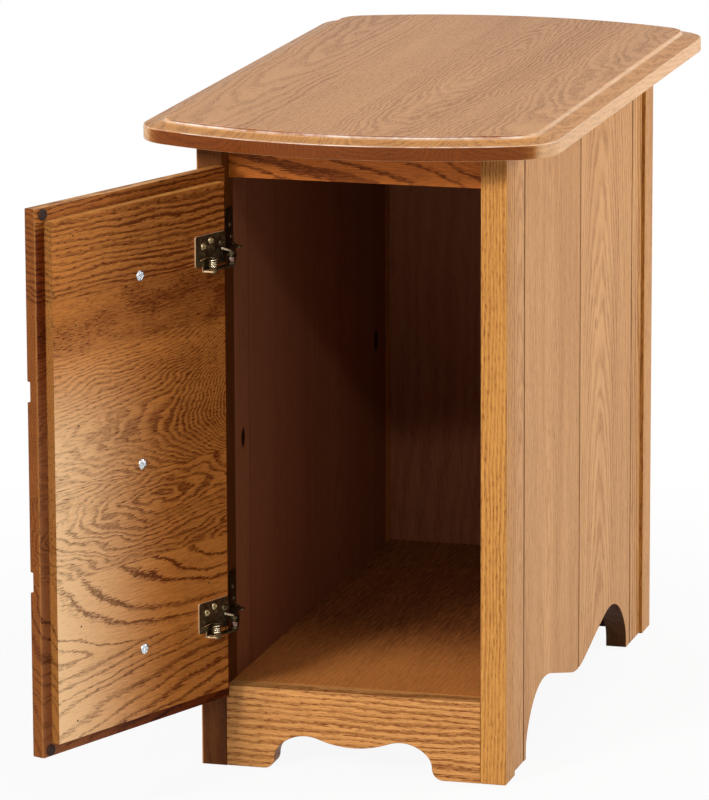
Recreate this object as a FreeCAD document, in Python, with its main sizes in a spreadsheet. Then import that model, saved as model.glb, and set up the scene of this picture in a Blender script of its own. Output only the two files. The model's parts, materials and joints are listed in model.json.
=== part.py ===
import FreeCAD, Part
import math
import os

# Oak chairside cabinet: a narrow storage table with a bow-ended top, boarded
# sides on scalloped feet, and one lipped door dressed as three drawers that
# swings on two link hinges.
#
# Frame: X to the right across the front, Y from the front to the back, Z up.
# The origin lies on the floor, in the middle of the front of the cabinet.
# All sizes are in millimetres. The door is placed standing open.

doc = FreeCAD.newDocument("ChairsideCabinet")
V = FreeCAD.Vector
UP = V(0, 0, 1)

# ---------------------------------------------------------------- sizes

SIZES = [
    # cabinet
    ("body_width", 268.0),
    ("body_depth", 549.0),
    ("top_underside", 543.0),
    ("post_wide", 22.3),
    ("post_deep", 32.0),
    ("post_ease", 1.5),
    ("stock_thick", 19.0),
    ("side_recess", 3.3),
    ("board_break_front", 75.0),
    ("board_break_middle", 277.5),
    ("board_break_rear", 478.5),
    ("board_vee", 1.5),
    ("panel_thick", 12.7),
    ("apron_high", 70.9),
    ("rail_low", 507.4),
    ("rail_setback", 19.0),
    # scalloped edge of the two sides
    ("side_foot", 83.3),
    ("side_foot_rise", 5.6),
    ("side_foot_bend", 30.0),
    ("side_crest_bend", 72.0),
    ("side_shoulder_bend", 100.0),
    ("side_drop_bend", 103.0),
    ("side_foot_turn", 31.8),
    ("side_slope", 14.3),
    ("side_slope_run", 77.8),
    # scalloped edge of the front and the back
    ("front_foot", 79.2),
    ("front_toe_bend", 10.0),
    ("front_hollow_bend", 15.26),
    ("front_crest_bend", 31.7),
    ("front_drop_bend", 88.1),
    ("front_hollow_turn", 43.5),
    ("front_wave_turn", 20.5),
    # inner blocks and cleats
    ("block_wide", 19.0),
    ("block_deep", 42.0),
    ("block_high", 26.0),
    ("cleat_wide", 19.0),
    ("cleat_high", 19.0),
    # table top
    ("table_half", 178.5),
    ("table_front", 70.4),
    ("table_back", 613.7),
    ("table_bow", 46.5),
    ("table_corner", 43.0),
    ("table_thick", 18.0),
    ("table_ease", 1.0),
    ("mould_start", 11.0),
    ("mould_round", 1.5),
    ("mould_rise", 14.6),
    ("mould_inner", 16.2),
    ("mould_edge", 18.2),
    # door
    ("door_half", 121.0),
    ("door_low", 64.2),
    ("door_high", 521.6),
    ("lip_thick", 12.7),
    ("lip_wide", 10.8),
    ("core_thick", 7.9),
    ("door_gap", 2.3),
    ("door_round", 3.0),
    ("groove_low", 203.0),
    ("groove_mid", 362.0),
    ("groove_wide", 16.8),
    ("groove_deep", 4.5),
    ("knob_low", 132.7),
    ("knob_mid", 290.5),
    ("knob_high", 449.0),
    ("knob_radius", 15.5),
    ("knob_length", 24.0),
    ("bumper_radius", 4.8),
    ("bumper_thick", 2.1),
    ("bumper_in", 8.5),
    ("bumper_up", 5.3),
    # swing of the door
    ("swing_x", -115.74),
    ("swing_y", -9.88),
    ("swing_open", 112.13),
    # hinges
    ("hinge_low", 129.0),
    ("hinge_high", 443.0),
    ("plate_left", -110.0),
    ("plate_right", -70.5),
    ("plate_tall", 26.3),
    ("plate_up", 0.7),
    ("plate_thick", 1.5),
    ("post_x", -87.1),
    ("post_y", 11.9),
    ("anchor_x", -106.2),
    ("anchor_y", 11.0),
    ("arm_half", 3.5),
    ("arm_sheet", 1.4),
    ("pin_radius", 1.6),
    ("running_fit", 0.06),
    ("strap_front", 8.0),
    ("strap_back", 26.0),
    ("strap_tall", 39.0),
    ("strap_low", 3.0),
    ("lug_top", 6.4),
    ("lug_reach", 8.4),
    ("leaf_top", 8.0),
    ("coil_radius", 3.6),
    ("wire_radius", 0.7),
    ("coil_turns", 5.5),
    ("coil_pitch", 1.45),
]

sheet = doc.addObject("Spreadsheet::Sheet", "Sizes")
for row, (word, number) in enumerate(SIZES, start=1):
    sheet.set("A%d" % row, word)
    sheet.set("B%d" % row, str(number))
    sheet.setAlias("B%d" % row, word)
doc.recompute()


def val(text):
    """The number that an expression in the sheet's words stands for."""
    return float(sheet.evalExpression(bind(text)))


def bind(text):
    """Put the sheet's name before each of its words."""
    out = ""
    word = ""
    for letter in text + " ":
        if letter.isalpha() or letter == "_":
            word += letter
            continue
        if word:
            out += "Sizes." + word if hasattr(sheet, word) and "_" in word else word
            word = ""
        out += letter
    return out.strip()


# ---------------------------------------------------------------- helpers

nodes = []


def new_body(label):
    body = doc.addObject("PartDesign::Body", label)
    body.Label = label
    nodes.append(body)
    return body


def new_feature(label, shape):
    feature = doc.addObject("Part::Feature", label)
    feature.Label = label
    feature.Shape = shape
    nodes.append(feature)
    return feature


def sketch_on(body, role, offset="0"):
    """A sketch on one of the body's own planes, moved along that plane's normal."""
    sketch = body.newObject("Sketcher::SketchObject", body.Name + "_sketch")
    plane = [item for item in body.Origin.OriginFeatures if item.Role == role][0]
    sketch.AttachmentSupport = [(plane, "")]
    sketch.MapMode = "FlatFace"
    sketch.setExpression("AttachmentOffset.Base.z", bind(offset))
    return sketch


def rectangle(sketch, left, right, low, high):
    """A rectangle whose four sides follow expressions in the sheet's words."""
    import Sketcher
    a, b, c, d = val(left), val(right), val(low), val(high)
    corners = [V(a, c, 0), V(b, c, 0), V(b, d, 0), V(a, d, 0)]
    first = sketch.GeometryCount
    for i in range(4):
        sketch.addGeometry(Part.LineSegment(corners[i], corners[(i + 1) % 4]), False)
    for i in range(4):
        sketch.addConstraint(Sketcher.Constraint(
            "Coincident", first + i, 2, first + (i + 1) % 4, 1))
    sketch.addConstraint(Sketcher.Constraint("Horizontal", first))
    sketch.addConstraint(Sketcher.Constraint("Horizontal", first + 2))
    sketch.addConstraint(Sketcher.Constraint("Vertical", first + 1))
    sketch.addConstraint(Sketcher.Constraint("Vertical", first + 3))
    for kind, item, end, text in (("DistanceX", first, 1, left), ("DistanceY", first, 1, low),
                                  ("DistanceX", first + 1, 2, right), ("DistanceY", first + 1, 2, high)):
        number = sketch.addConstraint(Sketcher.Constraint(kind, -1, 1, item, end, val(text)))
        sketch.setExpression("Constraints[%d]" % number, bind(text))
    return sketch


def outline(sketch, curves):
    """Curves laid end to end and blocked where the sizes put them."""
    import Sketcher
    for curve in curves:
        item = sketch.addGeometry(curve, False)
        sketch.addConstraint(Sketcher.Constraint("Block", item))
    return sketch


def circle(sketch, x, y, radius):
    """A circle whose centre and radius follow expressions."""
    import Sketcher
    item = sketch.addGeometry(Part.Circle(V(val(x), val(y), 0), V(0, 0, 1), val(radius)), False)
    for kind, text in (("DistanceX", x), ("DistanceY", y)):
        number = sketch.addConstraint(Sketcher.Constraint(kind, -1, 1, item, 3, val(text)))
        sketch.setExpression("Constraints[%d]" % number, bind(text))
    number = sketch.addConstraint(Sketcher.Constraint("Radius", item, val(radius)))
    sketch.setExpression("Constraints[%d]" % number, bind(radius))
    return sketch


def pad(body, sketch, length, reverse=False):
    feature = body.newObject("PartDesign::Pad", body.Name + "_pad")
    feature.Profile = sketch
    feature.setExpression("Length", bind(length))
    feature.Reversed = reverse
    doc.recompute()
    return feature


def pocket(body, sketch, length, reverse=False):
    before = body.Shape.Volume
    feature = body.newObject("PartDesign::Pocket", body.Name + "_pocket")
    feature.Profile = sketch
    feature.setExpression("Length", bind(length))
    feature.Reversed = reverse
    doc.recompute()
    if body.Shape.Volume > before - 1e-3:
        raise RuntimeError(body.Label + ": the pocket cut nothing")
    return feature


def edge_names(shape, test):
    return ["Edge%d" % i for i, edge in enumerate(shape.Edges, start=1) if test(edge)]


def dress(body, kind, size, test):
    """Round or bevel the edges that pass a test."""
    base = body.Tip
    names = edge_names(base.Shape, test)
    if not names:
        raise RuntimeError(body.Label + ": no edge to dress")
    feature = body.newObject("PartDesign::" + kind, body.Name + "_" + kind.lower())
    feature.Base = (base, names)
    feature.setExpression("Radius" if kind == "Fillet" else "Size", bind(size))
    doc.recompute()
    return feature


def near(number, text, slack=0.01):
    return abs(number - val(text)) < slack


def upright(edge):
    ends = edge.Vertexes
    return len(ends) == 2 and abs(ends[0].X - ends[1].X) < 1e-4 and abs(ends[0].Y - ends[1].Y) < 1e-4


def board(label, x, y, z):
    """A plain board: x, y and z each give two expressions."""
    body = new_body(label)
    sketch = rectangle(sketch_on(body, "XY_Plane", z[0]), x[0], x[1], y[0], y[1])
    pad(body, sketch, "(%s)-(%s)" % (z[1], z[0]))
    return body


def trace(start, heading, steps):
    """Follow runs and tangent bends from a start point. A bend is (radius, degrees),
    positive to the left; a run is one length."""
    point = V(start[0], start[1], 0)
    angle = math.radians(heading)
    curves = []
    for step in steps:
        if not isinstance(step, tuple):
            after = point + V(math.cos(angle), math.sin(angle), 0) * step
            curves.append(Part.LineSegment(point, after))
            point = after
            continue
        radius, turn = step
        side = 1 if turn > 0 else -1
        centre = point + V(-math.sin(angle), math.cos(angle), 0) * radius * side
        places = []
        for share in (0.5, 1.0):
            a = angle + math.radians(turn) * share
            places.append(centre + V(math.sin(a), -math.cos(a), 0) * radius * side)
        curves.append(Part.Arc(point, places[0], places[1]))
        point = places[1]
        angle += math.radians(turn)
    return curves, point


def closed_below(half, middle, low):
    """Mirror half of a scalloped edge about an upright line and close it under the floor."""
    curves = list(half)
    for curve in reversed(half):
        first = V(2 * middle - curve.EndPoint.x, curve.EndPoint.y, 0)
        last = V(2 * middle - curve.StartPoint.x, curve.StartPoint.y, 0)
        if isinstance(curve, Part.LineSegment):
            curves.append(Part.LineSegment(first, last))
            continue
        midway = curve.value((curve.FirstParameter + curve.LastParameter) / 2)
        curves.append(Part.Arc(first, V(2 * middle - midway.x, midway.y, 0), last))
    start, end = curves[0].StartPoint, curves[-1].EndPoint
    drop = V(0, low, 0)
    curves.append(Part.LineSegment(end, end + drop))
    curves.append(Part.LineSegment(end + drop, start + drop))
    curves.append(Part.LineSegment(start + drop, start))
    return curves


def drill(body, role, offset, x, y, radius, depth, reverse=False):
    sketch = circle(sketch_on(body, role, offset), x, y, radius)
    return pocket(body, sketch, depth, reverse)


# ---------------------------------------------------------------- legs and sides

INNER = "body_width/2-post_wide"
OUTER = "body_width/2"


def post(label, side, y):
    """A solid corner post. The outside corner is eased over its whole height."""
    x = ("-" + OUTER, "-(%s)" % INNER) if side < 0 else (INNER, OUTER)
    body = board(label, x, y, ("0*post_ease", "top_underside"))
    face = 0.0 if label.startswith("front") else val("body_depth")
    dress(body, "Fillet", "post_ease", lambda e: upright(e) and abs(e.Vertexes[0].Y - face) < 0.01
          and abs(abs(e.Vertexes[0].X) - val(OUTER)) < 0.01)
    return body


def side_scallop():
    """Half of the wave between the feet of a side, from the front foot to the middle."""
    crest_turn = 90 - val("side_foot_turn")
    slope = val("side_slope")
    steps = [
        val("side_foot_rise"),
        (val("side_foot_bend"), -val("side_foot_turn")),
        (val("side_crest_bend"), -crest_turn),
        (val("side_shoulder_bend"), -slope),
        val("side_slope_run"),
        (val("side_drop_bend"), slope),
    ]
    curves, end = trace((val("side_foot"), 0), 90, steps)
    # the last bend ends at the middle of the side
    middle = val("body_depth") / 2
    last = V(middle, end.y, 0)
    bend = curves[-1]
    midway = bend.value((bend.FirstParameter + bend.LastParameter) / 2)
    curves[-1] = Part.Arc(bend.StartPoint, V(midway.x, midway.y, 0), last)
    return closed_below(curves, middle, -20)


def side_board(side, number, y):
    """One upright board of a side. Its long edges are bevelled where two boards meet."""
    name = "left" if side < 0 else "right"
    face = "(%s-side_recess)" % OUTER
    x = ("-" + face, "-(%s)" % INNER) if side < 0 else (INNER, face)
    body = board("side_board_%s_%d" % (name, number), x, y, ("0*post_ease", "top_underside"))
    joints = [val(w) for w in ("board_break_front", "board_break_middle", "board_break_rear")]
    dress(body, "Chamfer", "board_vee", lambda e: upright(e)
          and abs(abs(e.Vertexes[0].X) - val(face)) < 0.01
          and min(abs(e.Vertexes[0].Y - joint) for joint in joints) < 0.01)
    if number in (2, 3):
        sketch = outline(sketch_on(body, "YZ_Plane", "%d*body_width" % side), side_scallop())
        pocket(body, sketch, "body_width", reverse=(side < 0))
    return body


for tag, sign in (("left", -1), ("right", 1)):
    post("front_post_" + tag, sign, ("0*post_deep", "post_deep"))
    post("rear_post_" + tag, sign, ("body_depth-post_deep", "body_depth"))
    side_board(sign, 1, ("post_deep", "board_break_front"))
    side_board(sign, 2, ("board_break_front", "board_break_middle"))
    side_board(sign, 3, ("board_break_middle", "board_break_rear"))
    side_board(sign, 4, ("board_break_rear", "body_depth-post_deep"))


# ---------------------------------------------------------------- front and back

def front_scallop():
    """The wave under the front apron, from the left foot to the middle, and its mirror."""
    hollow = val("front_hollow_turn")
    wave = val("front_wave_turn")
    foot = val("front_foot")
    toe = val("front_toe_bend")
    curves = []
    # rounded toe of the foot, on the solid's side
    curves.append(Part.Arc(V(-foot, 0, 0), V(-foot + toe * math.sin(math.radians(45)),
                  toe - toe * math.cos(math.radians(45)), 0), V(-foot + toe, toe, 0)))
    steps = [(val("front_hollow_bend"), -hollow), (val("front_crest_bend"), -(90 - hollow) - wave),
             (val("front_drop_bend"), wave)]
    more, end = trace((-foot + toe, toe), 90, steps)
    bend = more[-1]
    midway = bend.value((bend.FirstParameter + bend.LastParameter) / 2)
    more[-1] = Part.Arc(bend.StartPoint, V(midway.x, midway.y, 0), V(0, end.y, 0))
    return closed_below(curves + more, 0, -20)


apron = board("front_apron", ("-(%s)" % INNER, INNER), ("0*stock_thick", "stock_thick"),
              ("0*apron_high", "apron_high"))
pocket(apron, outline(sketch_on(apron, "XZ_Plane"), front_scallop()), "stock_thick*2")

board("front_top_rail", ("-(%s)" % INNER, INNER), ("rail_setback", "rail_setback+stock_thick"),
      ("rail_low", "top_underside"))

back = board("back_panel", ("-(%s)" % INNER, INNER),
             ("body_depth-side_recess-panel_thick", "body_depth-side_recess"),
             ("0*apron_high", "top_underside"))
pocket(back, outline(sketch_on(back, "XZ_Plane", "-body_depth"), front_scallop()), "panel_thick*3", reverse=True)

board("cabinet_floor", ("-(%s)" % INNER, INNER),
      ("stock_thick", "body_depth-side_recess-panel_thick"),
      ("apron_high-panel_thick", "apron_high"))

for tag, sign in (("left", -1), ("right", 1)):
    inner = "-(%s)" % INNER if sign < 0 else INNER
    off = "-(%s)+block_wide" % INNER if sign < 0 else "(%s)-block_wide" % INNER
    x = (inner, off) if sign < 0 else (off, inner)
    high = ("apron_high-panel_thick-block_high", "apron_high-panel_thick")
    board("floor_block_front_" + tag, x, ("post_deep+2", "post_deep+2+block_deep"), high)
    board("floor_block_rear_" + tag, x, ("body_depth-post_deep-2-block_deep", "body_depth-post_deep-2"), high)
    cleat = board("top_cleat_" + tag, x, ("post_deep+10", "body_depth-post_deep-10"),
                  ("top_underside-cleat_high", "top_underside"))
    for place in ("60", "body_depth/2", "body_depth-60"):
        middle = "%d*(%s-block_wide/2)" % (sign, INNER)
        drill(cleat, "XY_Plane", "top_underside-cleat_high", middle, place, "2.2", "cleat_high", reverse=True)


# ---------------------------------------------------------------- table top

def table_outline():
    """Straight sides, bowed ends and rounded corners, starting on the right side's middle."""
    half, bow, corner = val("table_half"), val("table_bow"), val("table_corner")
    front, rear = -val("table_front"), val("table_back")
    radius = (half * half + bow * bow) / (2 * bow)
    across = half - corner
    reach = math.sqrt((radius - corner) ** 2 - across ** 2)
    low = front + radius - reach
    high = rear - radius + reach
    share = radius / (radius - corner)
    shoulder = across * share
    turn = math.atan2(reach, across)
    curves = []
    middle = (front + rear) / 2
    curves.append(Part.LineSegment(V(half, middle, 0), V(half, high, 0)))
    midway = V(across + corner * math.cos(turn / 2), high + corner * math.sin(turn / 2), 0)
    end = V(shoulder, rear - radius + reach * share, 0)
    curves.append(Part.Arc(V(half, high, 0), midway, end))
    curves.append(Part.Arc(end, V(0, rear, 0), V(-end.x, end.y, 0)))
    curves.append(Part.Arc(V(-end.x, end.y, 0), V(-midway.x, midway.y, 0), V(-half, high, 0)))
    curves.append(Part.LineSegment(V(-half, high, 0), V(-half, low, 0)))
    flip = front + rear
    curves.append(Part.Arc(V(-half, low, 0), V(-midway.x, flip - midway.y, 0), V(-end.x, flip - end.y, 0)))
    curves.append(Part.Arc(V(-end.x, flip - end.y, 0), V(0, front, 0), V(end.x, flip - end.y, 0)))
    curves.append(Part.Arc(V(end.x, flip - end.y, 0), V(midway.x, flip - midway.y, 0), V(half, low, 0)))
    curves.append(Part.LineSegment(V(half, low, 0), V(half, middle, 0)))
    return curves


def moulding_waste():
    """What the cutter takes off the edge: a small round, a gentle rise, and a cove up
    to the flat of the top. Drawn in the plane across the edge, as (X, Z)."""
    edge = val("table_half")
    base = val("top_underside")
    start = base + val("mould_start")
    curl = val("mould_round")
    rise = base + val("mould_rise")
    inner = edge - val("mould_inner")
    lip = edge - val("mould_edge")
    high = base + val("table_thick")
    out = 3.0
    curves = []
    curves.append(Part.LineSegment(V(edge + out, start, 0), V(edge, start, 0)))
    bulge = curl * (1 - math.cos(math.radians(45)))
    curves.append(Part.Arc(V(edge, start, 0), V(edge - bulge, start + curl - bulge, 0),
                  V(edge - curl, start + curl, 0)))
    curves.append(Part.LineSegment(V(edge - curl, start + curl, 0), V(inner, rise, 0)))
    curves.append(Part.Arc(V(inner, rise, 0), V(lip + 0.55, rise + (high - rise) * 0.45, 0), V(lip, high, 0)))
    curves.append(Part.LineSegment(V(lip, high, 0), V(lip, high + out, 0)))
    curves.append(Part.LineSegment(V(lip, high + out, 0), V(edge + out, high + out, 0)))
    curves.append(Part.LineSegment(V(edge + out, high + out, 0), V(edge + out, start, 0)))
    return curves


table = new_body("table_top")
pad(table, outline(sketch_on(table, "XY_Plane", "top_underside"), table_outline()), "table_thick")
dress(table, "Fillet", "table_ease", lambda e: near(e.BoundBox.ZMin, "top_underside")
      and near(e.BoundBox.ZMax, "top_underside"))
path = outline(sketch_on(table, "XY_Plane", "top_underside"), table_outline())
waste = outline(sketch_on(table, "XZ_Plane", "(table_front-table_back)/2"), moulding_waste())
sweep = table.newObject("PartDesign::SubtractivePipe", "table_moulding")
sweep.Profile = waste
sweep.Spine = path
doc.recompute()
for sign in (-1, 1):
    for place in ("60", "body_depth/2", "body_depth-60"):
        middle = "%d*(%s-block_wide/2)" % (sign, INNER)
        drill(table, "XY_Plane", "top_underside", middle, place, "2.2", "12", reverse=True)


# ---------------------------------------------------------------- fasteners

def screw(head_radius, head_high, shank_radius, length):
    """A cheese-headed screw along +Z, the underside of its head at the origin."""
    corners = [V(0, 0, head_high), V(head_radius, 0, head_high), V(head_radius, 0, 0), V(shank_radius, 0, 0),
               V(shank_radius, 0, -length), V(0, 0, -length), V(0, 0, head_high)]
    edges = [Part.makeLine(corners[i], corners[i + 1]) for i in range(len(corners) - 1)]
    return Part.Face(Part.Wire(edges)).revolve(V(0, 0, 0), UP, 360)


def set_in(shape, point, outward):
    """Turn a screw so that its head faces outward and put it at a point."""
    placed = shape.copy()
    placed.Placement = FreeCAD.Placement(point, FreeCAD.Rotation(UP, outward))
    return placed


fixings = []
for sign in (-1, 1):
    for place in ("60", "body_depth/2", "body_depth-60"):
        spot = V(sign * (val(INNER) - val("block_wide") / 2), val(place), val("top_underside-cleat_high"))
        fixings.append(set_in(screw(4.0, 2.2, 2.0, 30.0), spot, V(0, 0, -1)))
new_feature("top_cleat_screws", Part.makeCompound(fixings))


# ---------------------------------------------------------------- door

# Everything on the door is drawn with the door shut, then turned open.
swing_axis = V(val("swing_x"), val("swing_y"), 0)
opened = FreeCAD.Placement(V(0, 0, 0), FreeCAD.Rotation(UP, -val("swing_open")), swing_axis)

door = new_body("door_panel")
FACE = "(door_gap+lip_thick)"
sketch = rectangle(sketch_on(door, "XZ_Plane", FACE), "-door_half", "door_half", "door_low", "door_high")
pad(door, sketch, "lip_thick", reverse=True)
sketch = rectangle(sketch_on(door, "XZ_Plane", "door_gap"), "lip_wide-door_half", "door_half-lip_wide",
                   "door_low+lip_wide", "door_high-lip_wide")
pad(door, sketch, "core_thick", reverse=True)
for low in ("groove_low", "groove_mid"):
    sketch = rectangle(sketch_on(door, "YZ_Plane", "-door_half-5"), "-(%s)-2" % FACE, "groove_deep-(%s)" % FACE,
                       low, low + "+groove_wide")
    pocket(door, sketch, "door_half*2+10", reverse=True)
dress(door, "Fillet", "door_round", lambda e: near(e.BoundBox.YMin, "-(%s)" % FACE)
      and near(e.BoundBox.YMax, "-(%s)" % FACE))
for high in ("knob_low", "knob_mid", "knob_high"):
    drill(door, "XZ_Plane", "-30", "0*knob_radius", high, "2.2", "60", reverse=True)
for low in ("hinge_low", "hinge_high"):
    for across, rise in (("plate_left+6.1", "17.2"), ("plate_left+19.6", "21.4"),
                         ("plate_right-10.1", "17.7")):
        drill(door, "XZ_Plane", "door_gap-core_thick", across, low + "+" + rise, "1.6", "11", reverse=True)
door.Placement = opened


def knob(label, high):
    """A turned knob: a foot, a neck that flares to the rim, and a chamfered face."""
    body = new_body(label)
    sketch = sketch_on(body, "YZ_Plane")
    face = -val(FACE)
    radius, length = val("knob_radius"), val("knob_length")
    z = val(high)
    # the profile, from the foot against the door to the middle of the face, as shares of length and radius
    profile = [(0, 0), (0, 0.60), (0.12, 0.60), (0.12, 0.44), (0.62, 1.0), (0.84, 1.0), (1.0, 0.72), (1.0, 0)]
    turned = [V(face - length * out, z + radius * up, 0) for out, up in profile]
    curves = [Part.LineSegment(turned[i], turned[i + 1]) for i in range(len(turned) - 1)]
    curves.append(Part.LineSegment(turned[-1], turned[0]))
    outline(sketch, curves)
    turn = body.newObject("PartDesign::Revolution", label + "_turning")
    turn.Profile = sketch
    doc.recompute()
    turn.ReferenceAxis = (sketch, ["Edge%d" % len(curves)])
    turn.Angle = 360
    doc.recompute()
    body.Placement = opened
    return body


for label, high in (("knob_bottom", "knob_low"), ("knob_middle", "knob_mid"), ("knob_top", "knob_high")):
    knob(label, high)


def placed_open(label, solids):
    feature = new_feature(label, Part.makeCompound(solids) if len(solids) > 1 else solids[0])
    feature.Placement = opened.multiply(feature.Placement)
    return feature


door_inside = val("core_thick-door_gap")
heads = []
for high in ("knob_low", "knob_mid", "knob_high"):
    heads.append(set_in(screw(4.8, 2.2, 2.0, 20.5), V(0, door_inside, val(high)), V(0, 1, 0)))
placed_open("knob_screws", heads)

pads = []
for high in ("door_low+bumper_up", "door_high-bumper_up"):
    radius, thick = val("bumper_radius"), val("bumper_thick")
    disc = Part.makeCylinder(radius, thick, V(val("door_half-bumper_in"), -val("door_gap"), val(high)), V(0, 1, 0))
    rim = [edge for edge in disc.Edges if abs(edge.BoundBox.YMin + val("door_gap") - thick) < 0.01
           and edge.BoundBox.XLength > radius]
    pads.append(disc.makeChamfer(0.7, rim))
placed_open("door_bumpers", pads)


# ---------------------------------------------------------------- link hinges

# In plan each hinge is a parallelogram: the anchor pin on the cabinet, the
# spring post on the door, and the elbow rivet that joins the arm to the link.
# The arm is parallel to the line from the swing axis to the spring post, and
# the link is parallel to the line from the swing axis to the anchor pin, so
# the three pins stay in step over the whole swing.

post_shut = V(val("post_x"), val("post_y"), 0)
post_open = opened.multVec(post_shut)
anchor = V(val("anchor_x"), val("anchor_y"), 0)
elbow = anchor + (post_open - swing_axis)


def slot_curves(first, last, radius):
    """A bar with round ends."""
    along = (last - first).normalize()
    side = V(-along.y, along.x, 0) * radius
    return [
        Part.LineSegment(first - side, last - side),
        Part.Arc(last - side, last + along * radius, last + side),
        Part.LineSegment(last + side, first + side),
        Part.Arc(first + side, first - along * radius, first - side),
    ]


def eye(sketch, point, radius):
    outline(sketch, [Part.Circle(V(point.x, point.y, 0), UP, radius)])


def turned_pin(sections):
    """A pin from (radius, low, high) sections in a stack, standing on the Z axis."""
    shape = None
    for radius, low, high in sections:
        piece = Part.makeCylinder(radius, high - low, V(0, 0, low))
        shape = piece if shape is None else shape.fuse(piece)
    return shape.removeSplitter()


def hinge(tag, low):
    pin = val("pin_radius")
    fit = val("running_fit")
    sheet_thick = val("arm_sheet")
    bottom = val(low)

    # plate on the inside of the door, with a lug folded out below for the spring post
    plate = new_body("hinge_door_plate_" + tag)
    sketch = rectangle(sketch_on(plate, "XZ_Plane", "door_gap-core_thick"), "plate_left", "plate_right",
                       low + "+plate_up", low + "+plate_up+plate_tall")
    pad(plate, sketch, "plate_thick", reverse=True)
    dress(plate, "Fillet", "2.0", lambda e: abs(e.BoundBox.YLength - val("plate_thick")) < 0.01)
    sketch = rectangle(sketch_on(plate, "XZ_Plane", "door_gap-core_thick"), "post_x-6", "post_x+7",
                       low + "-4.2", low + "+1")
    pad(plate, sketch, "plate_thick", reverse=True)
    lug = sketch_on(plate, "XY_Plane", low + "-4.2")
    x, y = post_shut.x, post_shut.y
    wall = door_inside
    outline(lug, [
        Part.LineSegment(V(x - 6, wall, 0), V(x + 7, wall, 0)),
        Part.LineSegment(V(x + 7, wall, 0), V(x + 4.2, y, 0)),
        Part.Arc(V(x + 4.2, y, 0), V(x, y + 4.2, 0), V(x - 4.2, y, 0)),
        Part.LineSegment(V(x - 4.2, y, 0), V(x - 6, wall, 0)),
    ])
    pad(plate, lug, "arm_sheet")
    hole = sketch_on(plate, "XY_Plane", low + "-4.2")
    eye(hole, post_shut, 1.9)
    pocket(plate, hole, "arm_sheet", reverse=True)
    holes = sketch_on(plate, "XZ_Plane", "door_gap-core_thick")
    spots = []
    for across, rise in (("plate_left+6.1", "17.2"), ("plate_left+19.6", "21.4"),
                         ("plate_right-10.1", "17.7")):
        circle(holes, across, low + "+" + rise, "1.7")
        spots.append(V(val(across), door_inside + val("plate_thick"), val(low + "+" + rise)))
    pocket(plate, holes, "plate_thick")
    plate.Placement = opened
    placed_open("hinge_door_screws_" + tag,
                [set_in(screw(3.4, 1.7, 1.5, 11.0), spot, V(0, 1, 0)) for spot in spots])

    # post that carries the spring, riveted into the lug
    stud = turned_pin([(2.9, -5.0, -4.2), (1.9, -4.3, 8.0), (3.1, 7.9, 8.9)])
    stud.translate(V(x, y, bottom))
    placed_open("hinge_spring_post_" + tag, [stud])

    # coil spring: close turns of wire round the post, and a straight leg from each end along the plate
    radius, wire = val("coil_radius"), val("wire_radius")
    turns, pitch = val("coil_turns"), val("coil_pitch")
    helix = Part.makeHelix(pitch, pitch * turns, radius)
    lean = V(0, 1, pitch / (2 * math.pi * radius)).normalize()
    across = lean.cross(V(1, 0, 0))
    corners = []
    for i in range(5):
        a = math.radians(90 * i)
        corners.append(V(radius, 0, 0) + V(1, 0, 0) * wire * math.cos(a) + across * wire * math.sin(a))
    profile = Part.makePolygon(corners)
    coil = Part.Wire(helix.Edges).makePipeShell([profile], True, True)
    outer_leg = Part.makeCylinder(wire, 12.0, V(radius, 0, 0), V(0, -1, 0))
    inner_leg = Part.makeCylinder(wire, 13.0, V(-radius, 0, pitch * turns), V(0, -1, -0.10))
    spring = coil.fuse([outer_leg, inner_leg]).removeSplitter()
    spring.rotate(V(0, 0, 0), UP, 90)
    spring.translate(V(x, y, bottom - 1.0 + wire))
    placed_open("hinge_spring_" + tag, [spring])

    # bracket on the cabinet: an upright strap and two lugs, the top one a wide gusset
    bracket = new_body("hinge_bracket_" + tag)
    sketch = sketch_on(bracket, "YZ_Plane", "-(%s)" % INNER)
    rectangle(sketch, "strap_front", "strap_back", low + "-strap_low", low + "+strap_tall")
    pad(bracket, sketch, "plate_thick")
    dress(bracket, "Fillet", "4.0", lambda e: abs(e.BoundBox.XLength - val("plate_thick")) < 0.01)
    wall = -val(INNER)
    for lift, reach, foot in (("0.8", "pin_radius*2+0.2", 6.0), ("lug_top", "lug_reach", 14.0)):
        lug = sketch_on(bracket, "XY_Plane", low + "+" + lift)
        tip = val(reach)
        outline(lug, [
            Part.LineSegment(V(wall, anchor.y - 3.0, 0), V(anchor.x + tip - 3.4, anchor.y - 3.4, 0)),
            Part.Arc(V(anchor.x + tip - 3.4, anchor.y - 3.4, 0), V(anchor.x + tip, anchor.y, 0),
                     V(anchor.x + tip - 3.4, anchor.y + 3.4, 0)),
            Part.LineSegment(V(anchor.x + tip - 3.4, anchor.y + 3.4, 0), V(wall, anchor.y + foot, 0)),
            Part.LineSegment(V(wall, anchor.y + foot, 0), V(wall, anchor.y - 3.0, 0)),
        ])
        pad(bracket, lug, "arm_sheet")
        hole = sketch_on(bracket, "XY_Plane", low + "+" + lift)
        eye(hole, anchor, pin)
        pocket(bracket, hole, "arm_sheet", reverse=True)
    spots = [("17.0", "24.5"), ("20.5", "13.0")]
    holes = sketch_on(bracket, "YZ_Plane", "-(%s)" % INNER)
    for depth, rise in spots:
        circle(holes, depth, low + "+" + rise, "1.7")
    pocket(bracket, holes, "plate_thick*2", reverse=True)
    places = [V(wall + val("plate_thick"), val(depth), val(low + "+" + rise)) for depth, rise in spots]
    new_feature("hinge_bracket_screws_" + tag, Part.makeCompound(
        [set_in(screw(2.8, 1.2, 1.5, 11.0), place, V(1, 0, 0)) for place in places]))

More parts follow.
